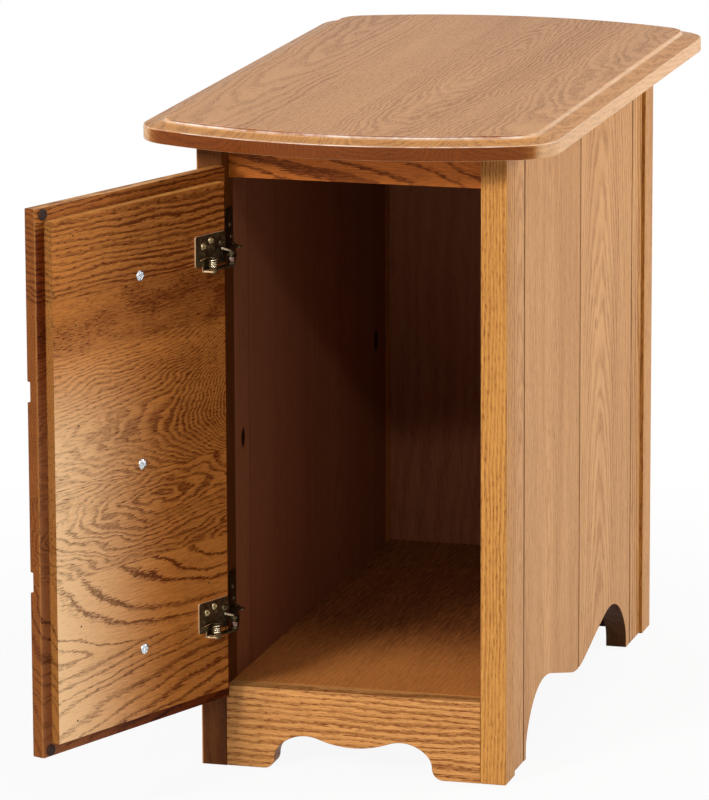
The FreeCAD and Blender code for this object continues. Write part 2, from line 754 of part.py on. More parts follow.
    # anchor pin through the lugs and the arm
    upper = val("leaf_top")
    stud = turned_pin([(2.6, -1.9, -1.0), (pin, -1.1, upper + 1.7), (2.6, upper + 1.6, upper + 2.4)])
    stud.translate(anchor + V(0, 0, bottom))
    new_feature("hinge_anchor_pin_" + tag, stud)

    # arm: a folded channel, two leaves joined by a web on the side towards the post
    arm = new_body("hinge_arm_" + tag)
    along = (elbow - anchor).normalize()
    side = V(along.y, -along.x, 0)
    reach = val("arm_half")
    near_end = anchor + along * 10.0
    far_end = elbow - along * 6.0
    web = sketch_on(arm, "XY_Plane", low + "-0.8")
    outline(web, [
        Part.LineSegment(near_end + side * reach, far_end + side * reach),
        Part.LineSegment(far_end + side * reach, far_end + side * (reach - sheet_thick)),
        Part.LineSegment(far_end + side * (reach - sheet_thick), near_end + side * (reach - sheet_thick)),
        Part.LineSegment(near_end + side * (reach - sheet_thick), near_end + side * reach),
    ])
    pad(arm, web, "leaf_top+arm_sheet+0.8")
    for lift in ("-0.8", "leaf_top"):
        leaf = sketch_on(arm, "XY_Plane", low + "+(" + lift + ")")
        outline(leaf, slot_curves(anchor, elbow, reach))
        eye(leaf, anchor, pin + fit)
        eye(leaf, elbow, pin)
        pad(arm, leaf, "arm_sheet")

    # elbow rivet with its spacer between the leaves
    stud = turned_pin([(2.8, -3.6, -2.7), (pin, -2.8, 0.7), (3.0, 0.6, upper), (pin, upper - 0.1, upper + 1.5),
                       (2.8, upper + 1.4, upper + 2.5)])
    stud.translate(elbow + V(0, 0, bottom))
    new_feature("hinge_elbow_rivet_" + tag, stud)

    # link between the elbow rivet and the spring post
    link = new_body("hinge_link_" + tag)
    bar = sketch_on(link, "XY_Plane", low + "-2.6")
    outline(bar, slot_curves(post_open, elbow, reach))
    eye(bar, post_open, 1.9 + fit)
    eye(bar, elbow, pin + fit)
    pad(link, bar, "arm_sheet")

    # free end of the spring: a wire that stands on the link and bends back over the rivet
    back_way = (post_open - elbow).normalize()
    foot = elbow + back_way * 14.0 + V(0, 0, bottom - 1.2)
    knee = foot + V(0, 0, 14.4)
    tip = elbow + back_way * 1.0 + V(0, 0, bottom + upper + 3.3)
    upright_wire = Part.makeCylinder(wire, 14.4, foot, UP)
    bend = Part.makeSphere(wire, knee)
    slant = Part.makeCylinder(wire, (tip - knee).Length, knee, tip - knee)
    new_feature("hinge_spring_hook_" + tag, upright_wire.fuse([bend, slant]).removeSplitter())


hinge("lower", "hinge_low")
hinge("upper", "hinge_high")

# pilot holes for the bracket screws
for body in nodes:
    if body.Label == "front_post_left":
        for low in ("hinge_low", "hinge_high"):
            drill(body, "YZ_Plane", "-(%s)" % INNER, "17.0", low + "+24.5", "1.6", "11")
            drill(body, "YZ_Plane", "-(%s)" % INNER, "20.5", low + "+13.0", "1.6", "11")

# ---------------------------------------------------------------- check and write

doc.recompute()
os.makedirs("parts", exist_ok=True)
for item in doc.Objects:
    if "Invalid" in item.State or "Error" in item.State:
        raise RuntimeError(item.Name + " failed: " + str(item.State))
total = 0
for node in nodes:
    shape = node.Shape
    if shape.isNull() or not shape.isValid():
        raise RuntimeError(node.Label + " has no sound shape")
    total += len(shape.Solids)
for node in nodes:
    node.Shape.exportStep("parts/%s.step" % node.Label)
print("%d nodes, %d solids" % (len(nodes), total))
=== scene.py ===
"""A small oak side table whose cabinet stands open: its timber, its door fittings and the studio round it.

Lengths are metres. The timber is a solid pattern of growth rings, so that faces, edges and end grain agree.
"""

import json
import math

import bmesh
import bpy
from mathutils import Matrix, Vector

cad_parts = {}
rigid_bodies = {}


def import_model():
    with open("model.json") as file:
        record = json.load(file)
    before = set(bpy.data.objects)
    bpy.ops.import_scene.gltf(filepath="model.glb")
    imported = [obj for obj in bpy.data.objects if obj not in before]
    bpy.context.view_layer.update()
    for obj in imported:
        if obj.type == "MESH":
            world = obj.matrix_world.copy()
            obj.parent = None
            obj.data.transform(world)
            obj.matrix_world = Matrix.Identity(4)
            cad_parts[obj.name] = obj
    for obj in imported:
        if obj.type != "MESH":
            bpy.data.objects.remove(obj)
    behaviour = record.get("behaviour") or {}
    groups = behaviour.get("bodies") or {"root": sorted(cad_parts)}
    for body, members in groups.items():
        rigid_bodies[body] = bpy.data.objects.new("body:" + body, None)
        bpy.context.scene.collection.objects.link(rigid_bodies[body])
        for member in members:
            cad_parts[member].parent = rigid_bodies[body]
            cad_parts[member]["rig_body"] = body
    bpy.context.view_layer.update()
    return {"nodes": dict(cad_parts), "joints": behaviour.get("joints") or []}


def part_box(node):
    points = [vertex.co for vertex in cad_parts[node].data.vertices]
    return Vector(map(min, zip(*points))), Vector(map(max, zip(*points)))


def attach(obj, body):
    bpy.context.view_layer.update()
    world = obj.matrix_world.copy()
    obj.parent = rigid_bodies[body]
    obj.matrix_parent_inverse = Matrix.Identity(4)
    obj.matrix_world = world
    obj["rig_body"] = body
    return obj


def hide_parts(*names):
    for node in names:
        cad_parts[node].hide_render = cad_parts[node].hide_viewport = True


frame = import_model()
nodes = frame["nodes"]
MM = 0.001
WHITE = (1, 1, 1, 1)


# ------------------------------------------------------------------ node graphs


class Graph:
    """A tree of shading nodes, made and joined one at a time."""

    def __init__(self, tree):
        self.tree = tree
        tree.nodes.clear()

    def feed(self, socket, value):
        if isinstance(value, bpy.types.NodeSocket):
            self.tree.links.new(value, socket)
        elif value is not None:
            socket.default_value = value

    def node(self, kind, *values, **settings):
        made = self.tree.nodes.new("ShaderNode" + kind)
        for name, setting in settings.items():
            setattr(made, name, setting)
        for socket, value in zip(made.inputs, values):
            self.feed(socket, value)
        return made

    def named(self, made, values):
        """The node with its named inputs fed."""
        for name, value in values.items():
            self.feed(made.inputs[name], value)
        return made

    def math(self, operation, *values):
        return self.node("Math", *values, operation=operation).outputs[0]

    def vector(self, operation, *values):
        return self.node("VectorMath", *values, operation=operation).outputs[0]

    def length(self, vector):
        return self.node("VectorMath", vector, operation="LENGTH").outputs["Value"]

    def xyz(self, x, y, z):
        return self.node("CombineXYZ", x, y, z).outputs[0]

    def parts(self, vector):
        return self.node("SeparateXYZ", vector).outputs

    def turned(self, vector, turn, shift=(0, 0, 0), kind="POINT"):
        return self.node("Mapping", vector, shift, turn, vector_type=kind).outputs[0]

    def scaled(self, where, x, y, z, shift=(0, 0, 0)):
        """The same place measured in other units along each axis, and moved."""
        return self.node("Mapping", where, shift, None, (x, y, z)).outputs[0]

    def noise(self, where, size, detail=2.0, rough=0.5, output="Fac"):
        """Cloudy noise, with its lumps to the metre as one number or one for each axis."""
        if isinstance(size, tuple):
            where, size = self.scaled(where, *size), 1.0
        return self.named(self.node("TexNoise"), {"Vector": where, "Scale": size, "Detail": detail,
                                                  "Roughness": rough}).outputs[output]

    def span(self, value, low, high, to_low=0.0, to_high=1.0, smooth=False):
        """value from low..high spread over to_low..to_high, and held at the ends."""
        made = self.node("MapRange", interpolation_type="SMOOTHSTEP" if smooth else "LINEAR")
        return self.named(made, {"Value": value, "From Min": low, "From Max": high, "To Min": to_low,
                                 "To Max": to_high}).outputs[0]

    def pick(self, place, choices):
        """Of rising (end of a stretch, vector) pairs, the vector of the stretch that place is in."""
        chosen = choices[0][1]
        for (end, _), (_, vector) in zip(choices, choices[1:]):
            made = self.node("Mix", data_type="VECTOR")
            for socket, value in ((made.inputs[0], self.math("GREATER_THAN", place, end)),
                                  (made.inputs[4], chosen), (made.inputs[5], vector)):
                self.feed(socket, value)
            chosen = made.outputs[1]
        if isinstance(chosen, tuple):
            chosen = self.xyz(*chosen)
        return chosen

    def bell(self, distance, width):
        """1 where distance is nothing, fading to 0 a few widths away."""
        spread = self.math("DIVIDE", distance, width)
        return self.math("EXPONENT", self.math("MULTIPLY", self.math("MULTIPLY", spread, spread), -1.0))

    def blend(self, share, first, second, way="MIX"):
        made = self.node("Mix", data_type="RGBA", blend_type=way)
        for socket, value in ((made.inputs[0], share), (made.inputs[6], first), (made.inputs[7], second)):
            self.feed(socket, value)
        return made.outputs[2]

    def stain_and_shade(self, share, colour, stain):
        """The colour seen through a share of a darker tone: a real stain in some places, painted shade in
        others.
        """
        return self.blend(share, colour, stain, "MULTIPLY")


class Finish(Graph):
    """The tree of a material, with its surface and its output."""

    def __init__(self, name):
        self.material = bpy.data.materials.new(name)
        self.material.use_nodes = True
        super().__init__(self.material.node_tree)
        self.surface = self.node("BsdfPrincipled")
        self.output = self.node("OutputMaterial", self.surface.outputs[0])

    def lay(self, looks, relief=None, strength=0.0, rise=0.0):
        """The material with its surface's looks set, and with a relief that is rise metres high."""
        self.named(self.surface, looks)
        if relief is not None:
            bump = self.named(self.node("Bump"), {"Strength": strength, "Distance": rise, "Height": relief})
            self.feed(self.surface.inputs["Normal"], bump.outputs[0])
        return self.material


def tone(red, green, blue):
    """A colour named by its screen values, 0 to 255, in the linear light that shading uses."""
    def linear(v):
        v /= 255
        return v / 12.92 if v <= 0.04045 else ((v + 0.055) / 1.055) ** 2.4
    return (linear(red), linear(green), linear(blue), 1.0)


# ------------------------------------------------------------------ timber

# How a board is turned to the pattern's along, across and into: depth is y, -x, z; height is z, y, -x;
# width is x, z, -y.
ALONG = {
    "depth": (0, 0, -math.pi / 2),
    "height": (0, math.pi / 2, 0),
    "width": (-math.pi / 2, 0, 0),
}

# Lumps to the metre along, across and into a board, from the broadest figure to single pores.
STREAKS, PATCHES, STRAYING = (2.2, 30, 30), (6, 45, 45), (7, 22, 22)
FIBRES, RAGS, PORES = (50, 900, 900), (130, 900, 900), (140, 900, 900)

# Growth rings, in shares of a year, of a ring's full darkness or of a pore's full depth.
RAGGED = 0.65            # how far pores break a ring's line
UNEVEN_YEARS = 1.6       # how far thick and thin years come from a steady count
YEAR_OPENS = 0.12        # how soon the spring wood is at its darkest
FAINT_STRETCHES = 0.55   # how dark a ring is where it shows least
SUMMER_PORES = 0.45      # how open the pores of the summer wood are
CUT_RINGS = 0.75         # how dark the rings are on end grain
FIGURE_INSIDE = 0.4      # how much of the figure shows inside the cupboard
SHADE_INSIDE = 0.16      # how dark the painted shade over it is
END_SHARE = 0.8          # how much of its stain the flattest end grain takes

# Stains that deepen the timber under them, painted shade and painted light, and tones that cover it.
END_STAIN, RIM_SHADE = tone(205, 168, 128), tone(170, 140, 98)
LIP_TONE, LOW_SHADE = tone(216, 184, 168), tone(120, 104, 90)
SEAM_TONE, KNOT_TONE, FLANK_LIGHT = tone(66, 26, 8), tone(30, 12, 6), tone(250, 222, 188)
SEAM_WIDTH, SEAM_SHOWS, SEAM_SHOWS_INSIDE = 1.6 * MM, 0.95, 0.25
LEDGE_TOP = (0.500, 0.510)    # how high the painted shade on a rebate's ledge begins to thin, and how high it is thinnest


class Board:
    """One board of a glued panel, up to `end` across the grain.

    heart: where the log's heart passes, along, across and into the board. tilt: how steeply the heart
    runs through the board: little gives lines, much gives ovals and tongues. ring: a year's growth.
    line: how dark the growth lines are. wander: how far they stray. pores: how many pores show.
    shade: how much darker than its neighbours the whole board is. reach: how far along the board the
    heart keeps its tilt before it levels out.
    """

    def __init__(self, end, heart, tilt=0.03, ring=0.004, line=0.6, wander=0.004, pores=0.5, shade=0.0,
                 reach=9.0):
        self.end, self.heart, self.tilt, self.ring = end, heart, tilt, ring
        self.line, self.wander, self.pores, self.shade, self.reach = line, wander, pores, shade, reach
        # The band of coarse pores is a few millimetres wide, so it fills less of a fast year.
        self.band = min(0.6, 0.0022 / ring + 0.10)


def knotted(g, turned, radius, knots):
    """The distance from the heart, greater near each knot, and how much a point is in a knot."""
    mask = None
    for centre, height, far, size in knots:
        long, wide = 0.6 / size, 1 / size
        near = g.length(g.scaled(turned, long, wide, wide, (-centre * long, -height * wide, -far * wide)))
        radius = g.math("MULTIPLY_ADD", g.bell(near, 1.8), size * 1.4, radius)
        spot = g.span(near, 0.6, 1.1, 1.0, 0.0, smooth=True)
        mask = spot if mask is None else g.math("MAXIMUM", mask, spot)
    return radius, mask


def grown(g, apart, radius, number, rate, band):
    """The rings and pores of wood that opens the year with coarse pores and closes it plain."""
    rags = g.math("SUBTRACT", g.noise(apart, RAGS), 0.5)
    uneven = g.noise(g.xyz(g.math("MULTIPLY", radius, 90), number, 0.0), 1.0, 1.0)
    years = g.math("MULTIPLY_ADD", uneven, UNEVEN_YEARS, g.math("MULTIPLY", radius, rate))
    year = g.math("FRACT", g.math("MULTIPLY_ADD", rags, RAGGED, years))
    spring = g.math("MULTIPLY", g.span(year, 0.0, YEAR_OPENS, smooth=True),
                    g.span(g.math("DIVIDE", year, band), 0.6, 1.25, 1.0, 0.0, smooth=True))
    clear = g.span(g.noise(apart, PATCHES), 0.30, 0.60, FAINT_STRETCHES, 1.0, smooth=True)
    pore = g.span(g.noise(apart, PORES, 1.0), 0.53, 0.64, smooth=True)
    return (g.math("MULTIPLY", spring, clear),
            g.math("MULTIPLY", pore, g.span(spring, 0.0, 1.0, SUMMER_PORES, 1.0)))


def painted_sheen(g, along, across, looks_in, pale):
    """How much painted sheen pales a point of the face that looks inside."""
    begins, ends, below, _ = pale
    fallen = g.math("MULTIPLY", g.span(along, begins, ends, smooth=True),
                    g.span(across, below - 0.10, below + 0.03, 1.0, 0.0, smooth=True))
    return g.math("MULTIPLY", fallen, looks_in)


def rebated(g, colour, step, across, deep, end, back):
    """The colour with painted shade on a rebate's sunk ledge, less near the top, and a darker tone on its
    lip.
    """
    ledge, stain = step
    sunk = g.math("MULTIPLY", g.math("GREATER_THAN", deep, ledge), g.span(back, 0.3, 0.8))
    sunk = g.math("MULTIPLY", sunk, g.span(across, *LEDGE_TOP, 1.0, 0.3))
    lip = g.math("MULTIPLY", g.math("GREATER_THAN", deep, -ledge), end)
    return g.stain_and_shade(lip, g.stain_and_shade(sunk, colour, stain), LIP_TONE)


def painted_edge_light(g, colour, highlight_and_wear, where, rise, end):
    """The colour with a painted highlight on rounded edges, most across the ends, and how strong it is."""
    highlight_tone, most = highlight_and_wear
    # Painted shade darkens the flat of an end, and painted light makes the flanks a little paler than the
    # top.
    colour = g.stain_and_shade(g.math("MULTIPLY", end, g.span(rise, 0.40, 0.05)), colour, RIM_SHADE)
    flank = g.math("MULTIPLY", g.span(rise, 0.97, 0.80), g.span(end, 0.0, 0.4, 0.30, 0.0))
    colour = g.blend(flank, colour, FLANK_LIGHT)
    patchy = g.span(g.noise(where, 26, 3.0, 0.7), 0.36, 0.58, 0.15, 1.0)
    edges = g.math("MULTIPLY", g.bell(g.math("SUBTRACT", rise, 0.5), 0.17), patchy)
    edges = g.math("MULTIPLY", edges, g.span(end, 0.0, 0.4, 0.25, 1.0))
    return g.blend(g.math("MULTIPLY", edges, most), colour, highlight_tone), edges


def oak(name, grain, light, dark, boards, *, seed=0.0, streak=0.25, coarse=0.26, gloss=0.40, sheen=0.08,
        lacquer=0.05, polish=0.18, end_stain=END_STAIN, inside=None, place=None, fade=None, pale=None,
        step=None, under=None, highlight_and_wear=None, seams=(), knots=()):
    """Oak with growth rings, open pores, broad streaks and end grain.

    grain: the way the boards run. streak, coarse: how much broad streaks and fibres show.
    gloss: how rough the palest timber is. sheen, lacquer, polish: how much the timber and its coat shine,
    and how rough the coat is.
    inside: (way, shade, least, most) of painted shade on the faces that look that way, from least to most
    of it.
    place: the shift and turn that bring an opened door back to its own axes; the shade of its boards
    keeps to the faces that look inside.
    fade: (from, to, shade, shade) of darkening along them; on the door, left post and cupboard, painted
    shade.
    pale: (from, to, below, tone) of painted sheen that pales the timber along them, on faces that look
    inside.
    step: (depth, shade) of a rebate whose sunk ledge is darkened with painted shade.
    under: (height, axis) below which inner faces and sawn edges, which look across that axis, get painted
    shade.
    rubbed: (tone, share) of painted highlight on rounded edges. seams: joints across the grain where stain
    has gathered.
    knots: (along, across, into, radius). Where pale or under is given, inside is too.
    """
    g = Finish(name)
    coords = g.node("TexCoord").outputs
    where, normal = coords["Object"], coords["Normal"]
    if place is not None:
        shift, turn = place
        where, normal = g.turned(where, turn, shift), g.turned(normal, turn, kind="NORMAL")
    turned = g.turned(where, ALONG[grain])
    along, across, deep = g.parts(turned)
    looks = g.parts(normal)
    looks_along = g.parts(g.turned(normal, ALONG[grain], kind="NORMAL"))[0]
    end = g.span(g.math("ABSOLUTE", looks_along), 0.55, 0.95, 0.0, END_SHARE, smooth=True)
    looks_in = None
    if inside is not None:
        way, inside_shade, least, most = inside
        towards = g.node("VectorMath", normal, way, operation="DOT_PRODUCT").outputs["Value"]
        looks_in = g.span(towards, least, most, smooth=True)

    # What each board of the panel is like.
    heart = g.pick(across, [(b.end, b.heart) for b in boards])
    tilt, rate, line = g.parts(g.pick(across, [(b.end, (b.tilt, 1 / b.ring, b.line)) for b in boards]))
    wander, pores, shade = g.parts(g.pick(across, [(b.end, (b.wander * 2, b.pores, b.shade))
                                                   for b in boards]))
    number, band, reach = g.parts(g.pick(across, [(b.end, (i * 3.7 + seed, b.band, b.reach))
                                                  for i, b in enumerate(boards)]))
    apart = g.vector("ADD", turned, g.xyz(0.0, 0.0, number))

    # How far from the log's heart a point lies, and the figure that it gives.
    stray = g.vector("SUBTRACT", g.noise(apart, STRAYING, 3.0, 0.6, "Color"), (0.5, 0.5, 0.5))
    stray_side, stray_in, _ = g.parts(stray)
    run, side, into = g.parts(g.vector("SUBTRACT", turned, heart))
    side = g.math("MULTIPLY_ADD", stray_side, wander, side)
    run = g.math("MULTIPLY", g.math("TANH", g.math("DIVIDE", run, reach)), reach)
    into = g.math("MULTIPLY_ADD", run, tilt, g.math("MULTIPLY_ADD", stray_in, wander, into))
    radius, knot_mask = knotted(g, turned, g.length(g.xyz(side, into, 0.0)), knots)
    rings, open_pore = grown(g, apart, radius, number, rate, band)
    fibre = g.noise(apart, FIBRES, 3.0, 0.6)
    broad = g.noise(apart, STREAKS, 3.0)

    # From the palest timber, near 0, to the darkest, near 1.
    if place is not None and looks_in is not None:
        shade = g.math("MULTIPLY", shade, looks_in)
    line = g.math("MULTIPLY", line, g.span(end, 0.0, END_SHARE, 1.0, CUT_RINGS))
    darkness = g.math("MULTIPLY_ADD", rings, line, shade)
    darkness = g.math("MULTIPLY_ADD", open_pore, pores, darkness)
    darkness = g.math("ADD", darkness, g.span(broad, 0.3, 0.7, -streak / 2, streak / 2))
    darkness = g.math("ADD", darkness, g.span(fibre, 0.3, 0.7, -coarse, coarse))
    if looks_in is not None and place is None:
        # Faces that look inside get painted shade, which hides much of the figure.
        seen_figure = g.math("MULTIPLY", darkness, g.span(looks_in, 0.0, 1.0, 1.0, FIGURE_INSIDE))
        darkness = g.math("MULTIPLY_ADD", looks_in, SHADE_INSIDE, seen_figure)
    if fade is not None:
        deeper = g.span(along, *fade, smooth=True)
        if looks_in is not None:
            deeper = g.math("MULTIPLY", deeper, looks_in)
        darkness = g.math("ADD", darkness, deeper)

    # Painted sheen: the timber pales along the boards on the lower faces that look inside.
    if pale is not None:
        sheen_share = painted_sheen(g, along, across, looks_in, pale)
        light = g.blend(sheen_share, light, pale[-1])
        dark = g.blend(g.math("MULTIPLY", sheen_share, 0.18), dark, pale[-1])
    colour = g.stain_and_shade(end, g.blend(g.span(darkness, -0.12, 1.0), light, dark), end_stain)
    if step is not None:
        colour = rebated(g, colour, step, across, deep, end, looks[1])
    # Painted shade on the faces that look inside.
    if looks_in is not None:
        colour = g.stain_and_shade(looks_in, colour, inside_shade)
    # Painted shade low down on inner faces and sawn edges.
    if under is not None:
        height, axis = under
        sawn = g.span(g.math("ABSOLUTE", looks[axis]), 0.5, 0.3)
        low_down = g.math("MULTIPLY", g.math("LESS_THAN", along, height), g.math("MAXIMUM", looks_in, sawn))
        colour = g.stain_and_shade(low_down, colour, LOW_SHADE)
    for joint in seams:
        gap = g.bell(g.math("SUBTRACT", across, joint), SEAM_WIDTH)
        shows = SEAM_SHOWS
        if looks_in is not None:
            shows = g.span(looks_in, 0.0, 1.0, SEAM_SHOWS, SEAM_SHOWS_INSIDE)
        colour = g.blend(g.math("MULTIPLY", gap, shows), colour, SEAM_TONE)
    if knot_mask is not None:
        colour = g.blend(knot_mask, colour, KNOT_TONE)
    # A painted highlight on rounded edges, with painted shade on the ends and painted light on the flanks.
    if highlight_and_wear is not None:
        colour, edges = painted_edge_light(g, colour, highlight_and_wear, where, looks[2], end)
        lacquer = g.math("MULTIPLY_ADD", edges, 0.8, lacquer)
    relief = g.math("MULTIPLY_ADD", open_pore, -1.0, g.math("MULTIPLY", fibre, 0.3))
    return g.lay({"Base Color": colour, "Roughness": g.span(darkness, 0.0, 1.0, gloss, gloss + 0.2),
                  "Specular IOR Level": sheen, "Coat Weight": lacquer, "Coat Roughness": polish},
                 relief, 0.4, 0.2 * MM)


def metal(name, base, pale_tone, *, rough=0.3, patch=260.0, wear=0.5, broad=None):
    """Plated metal, its plating cloudy and paler in places where it wears thin.

    broad: (turn, axis) of the faces that keep their plating; cut edges go pale, partly wear, partly painted
    highlight.
    """
    g = Finish(name)
    coords = g.node("TexCoord").outputs
    cloud = g.noise(coords["Object"], patch, 4.0, 0.6)
    scratch = g.noise(coords["Object"], (900, 900, 5200))
    highlight_and_wear = g.math("MULTIPLY", g.span(cloud, 0.45, 0.65, smooth=True), wear)
    dull = g.span(g.math("MULTIPLY_ADD", scratch, 0.4, cloud), 0.4, 1.0, rough * 0.7, rough * 1.5)
    # The cut edges get the paler tone: wear, and a painted highlight.
    if broad is not None:
        turn, axis = broad
        facing = g.parts(g.turned(coords["Normal"], (0, 0, turn), kind="NORMAL"))[axis]
        highlight_and_wear = g.math("MAXIMUM", highlight_and_wear, g.span(g.math("ABSOLUTE", facing), 0.8, 0.4))
        dull = g.math("MULTIPLY_ADD", highlight_and_wear, 0.25, dull)
    return g.lay({"Base Color": g.blend(highlight_and_wear, base, pale_tone), "Metallic": 1.0, "Roughness": dull},
                 scratch, 0.15, 0.05 * MM)


def rubber(name, shade, dust):
    """Soft rubber, dusty in patches."""
    g = Finish(name)
    grime = g.noise(g.node("TexCoord").outputs["Object"], 900.0, 3.0)
    return g.lay({"Base Color": g.blend(g.span(grime, 0.35, 0.75), shade, dust),
                  "Roughness": g.span(grime, 0.3, 0.7, 0.45, 0.7), "Specular IOR Level": 0.12})


# The door stands open, and its pattern is turned back about the hinge line to where the door is shut.
swing = next(joint for joint in frame["joints"] if joint["name"] == "door_swing")
hinge_point = Vector(swing["pos_m"])
shutting = math.radians(swing["range_deg"][1])
door_place = (tuple(hinge_point - Matrix.Rotation(shutting, 3, "Z") @ hinge_point), (0, 0, shutting))

HONEY, UMBER = tone(200, 138, 70), tone(116, 62, 22)
DIM_HEIGHT = 0.06    # painted shade darkens inner faces and sawn edges below it

top_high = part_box("table_top")[1].z
# The top's edges carry a painted highlight, painted shade on the flat of the ends and painted light on the
# flanks.
top_oak = oak("top_oak", "depth", HONEY, UMBER, [
    # across runs from the right edge, at minus half the width, to the left edge
    Board(-0.109, (1.10, -0.165, top_high), 0.075, 0.0042, 0.28, 0.012, 0.35),
    Board(0.011, (0.34, -0.040, top_high - 0.001), 0.085, 0.0038, 0.30, 0.013, 0.30, 0.07),
    Board(0.075, (0.70, 0.200, top_high - 0.05), 0.05, 0.0034, 0.20, 0.008, 0.35),
    Board(0.300, (0.75, 0.122, top_high), 0.05, 0.0056, 0.30, 0.010, 0.35, 0.02),
], seed=2.3, streak=0.20, coarse=0.16, sheen=0.04, lacquer=0.2, polish=0.25,
    end_stain=tone(180, 134, 84), highlight_and_wear=(tone(255, 244, 228), 0.75))

breaks = [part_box(f"side_board_right_{i}")[1].y for i in (1, 2, 3)]


def side_oak(name, way):
    """The upright boards of one side: plain outside, with painted shade where they line the cupboard and
    low down.
    """
    return oak(name, "height", tone(200, 146, 88), tone(120, 68, 32), [
        Board(breaks[0], (0.12, 0.060, -way * 0.131), 0.10, 0.0036, 0.32, 0.008, 0.28),
        Board(0.195, (0.25, 0.162, -way * 0.128), 0.05, 0.0046, 0.30, 0.016, 0.28),
        Board(breaks[1], (0.12, 0.165, -way * 0.090), 0.03, 0.0040, 0.22, 0.006, 0.28, 0.10),
        Board(breaks[2], (-0.22, 0.355, -way * 0.131), 0.13, 0.0050, 0.34, 0.007, 0.28),
        Board(1.0, (0.20, 0.560, 0.0), 0.02, 0.0044, 0.50, 0.006, 0.28, 0.02),
    ], seed=5.0 + way, streak=0.34, coarse=0.14, sheen=0.05, seams=breaks, under=(DIM_HEIGHT, 0),
        inside=((-way, 0, 0), tone(194, 172, 196), 0.5, 0.9),
        knots=[(0.275, 0.056, 0.1117, 0.0060), (0.272, 0.484, 0.1117, 0.0075)] if way < 0 else ())


left_oak, right_oak = side_oak("side_oak_left", -1), side_oak("side_oak_right", 1)


def upright(shade):
    """The one straight-grained board of a post."""
    return [Board(9, (0.0, 0.14, 0.10), 0.010, 0.0026, 0.44, 0.004, 0.42, shade)]


frame_oak = oak("frame_oak", "height", tone(194, 136, 68), UMBER, upright(-0.04), seed=8.0,
                fade=(0.55, 0.05, 0.05, -0.10))
# The left post is darkened with painted shadow of the open door, on its front and inner faces, most from
# 0.42 m down.
door_shadow_oak = oak("door_shadow_oak", "height", tone(198, 132, 62), UMBER, upright(0.04), seed=8.6,
                     fade=(0.55, 0.42, 0.0, 0.5), inside=((0.7, -0.7, 0), tone(156, 142, 134), 0.5, 0.7))
apron_oak = oak("apron_oak", "width", tone(204, 144, 82), UMBER,
                [Board(9, (0.15, -0.06, -0.05), 0.03, 0.0052, 0.60, 0.008, 0.6)], seed=11.0)
rail_oak = oak("rail_oak", "width", tone(206, 118, 46), tone(110, 50, 12),
               [Board(9, (-0.25, 0.46, -0.019), 0.25, 0.0105, 0.8, 0.010, 0.5, 0.04)], seed=12.0)
plain_boards = [Board(0.0, (0.1, 0.25, 0.3), 0.05, 0.004, 0.25, 0.005, 0.3),
                Board(9, (0.1, -0.2, 0.3), 0.05, 0.004, 0.25, 0.005, 0.3)]
inside_oak = oak("inside_oak", "height", tone(140, 84, 50), tone(74, 36, 18), plain_boards, seed=3.0,
                 gloss=0.5)
# The cupboard's floor darkens towards the back with painted shade.
floor_oak = oak("floor_oak", "depth", tone(196, 124, 62), tone(84, 38, 18),
                [Board(0.02, (0.3, 0.2, -0.1), 0.03, 0.0045, 0.07, 0.006, 0.12),
                 Board(9, (0.1, -0.2, -0.1), 0.04, 0.0045, 0.07, 0.006, 0.12)],
                seed=13.0, streak=0.15, gloss=0.42, fade=(0.08, 0.26, 0.0, 0.75))
# The back panel's inner face and sawn edges get painted shade, deeper towards the bottom.
back_oak = oak("back_oak", "height", tone(204, 148, 92), tone(128, 76, 42), plain_boards, seed=3.0,
               gloss=0.45, under=(DIM_HEIGHT, 1), fade=(0.46, 0.16, 0.0, 0.6),
               inside=((0, -1, 0), tone(232, 214, 238), 0.5, 0.9))

door_inside = 5.6 * MM    # how far back the inner face of the shut door lies
behind = -door_inside
# Painted shade over the door's inner face, deeper towards the hinge, and painted sheen on its lower boards
# by the latch.
door_oak = oak("door_oak", "width", tone(206, 142, 72), tone(100, 48, 14), [
    # from the bottom of the door up, each with its heart along the door, up, and behind its inner face
    Board(0.142, (0.0, 0.040, 0.050), -0.16, 0.0076, 0.60, 0.010, 0.4, 0.0),
    Board(0.209, (-0.125, 0.212, behind), 0.25, 0.0115, 0.92, 0.010, 0.35, -0.04),
    Board(0.283, (-0.040, 0.262, behind), 0.30, 0.0052, 0.52, 0.030, 0.5, 0.02),
    Board(0.397, (-0.165, 0.325, behind), 0.70, 0.0021, 0.44, 0.010, 0.45, 0.04, 0.10),
    Board(0.444, (0.00, 0.420, 0.300), 0.02, 0.0030, 0.25, 0.006, 0.6, 0.36),
    Board(9, (0.10, 0.300, 0.050), 0.05, 0.0052, 0.66, 0.010, 0.5, 0.20),
], seed=21.0, gloss=0.42, sheen=0.05, end_stain=tone(150, 136, 132), place=door_place,
    inside=((0, 1, 0), tone(250, 228, 206), 0.5, 0.9), fade=(0.11, -0.06, -0.18, 0.24),
    pale=(-0.045, 0.145, 0.397, tone(254, 230, 192)), step=(-0.004, tone(150, 112, 90)))
knob_oak = oak("knob_oak", "width", HONEY, UMBER, [Board(9, (0, 0.1, 0.02), 0.02, 0.003)], seed=17.0,
               place=door_place)

